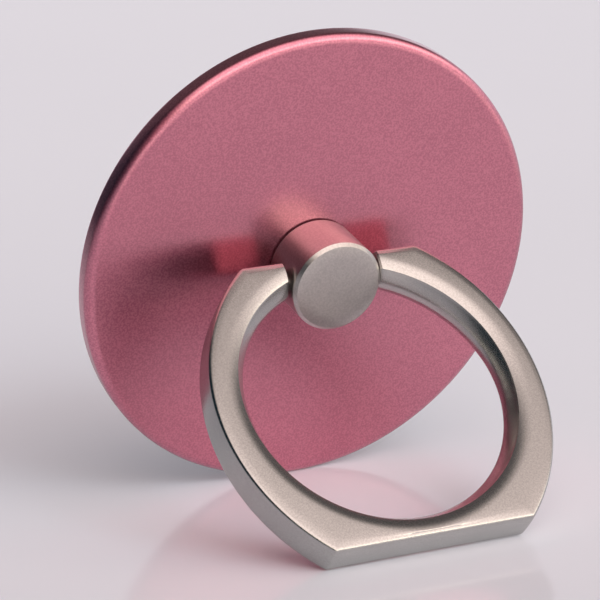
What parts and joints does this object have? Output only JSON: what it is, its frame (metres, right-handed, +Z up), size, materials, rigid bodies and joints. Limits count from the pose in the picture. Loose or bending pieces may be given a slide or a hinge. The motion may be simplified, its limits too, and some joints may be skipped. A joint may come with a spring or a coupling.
{
  "type": "phone ring holder",
  "caption": "Round stick-on disc for the back of a phone, with a swivelling post and a hinged finger ring whose flat foot also props the phone up.",
  "frame": {"origin": "middle of the holder's footprint, on the surface that it stands on", "axes": "+Z up as the holder stands on disc and ring; +X along the ring's hinge; the disc's front looks towards -Y"},
  "size_m": [0.04, 0.0286, 0.0392],
  "materials": {
    "disc_anodised": "bead-blasted, rose pink anodised",
    "plate_steel": "rolled steel sheet",
    "pad_gel": "matt acrylic foam",
    "washer_nylon": "black nylon",
    "post_nickel": "satin nickel plate",
    "fastener_steel": "bright zinc plate",
    "sleeve_nylon": "natural nylon",
    "ring_nickel": "satin nickel plate"
  },
  "bodies": {
    "base": {"base_disc": "disc_anodised", "back_plate": "plate_steel", "adhesive_pad": "pad_gel", "swivel_washer": "washer_nylon"},
    "post": {"swivel_post": "post_nickel", "spring_washer": "fastener_steel", "retaining_washer": "fastener_steel", "swivel_screw": "fastener_steel", "hinge_sleeve": "sleeve_nylon"},
    "ring": {"finger_ring": "ring_nickel"}
  },
  "joints": [
    {"name": "post_swivel", "type": "hinge", "parent": "base", "child": "post", "pos_m": [0, 0.00727, 0.01937], "axis": [0, -0.9743, -0.2254], "continuous": true},
    {"name": "ring_hinge", "type": "hinge", "parent": "post", "child": "ring", "pos_m": [0, 0.00449, 0.01872], "axis": [1, 0, 0], "range_deg": [-122, 58]}
  ]
}
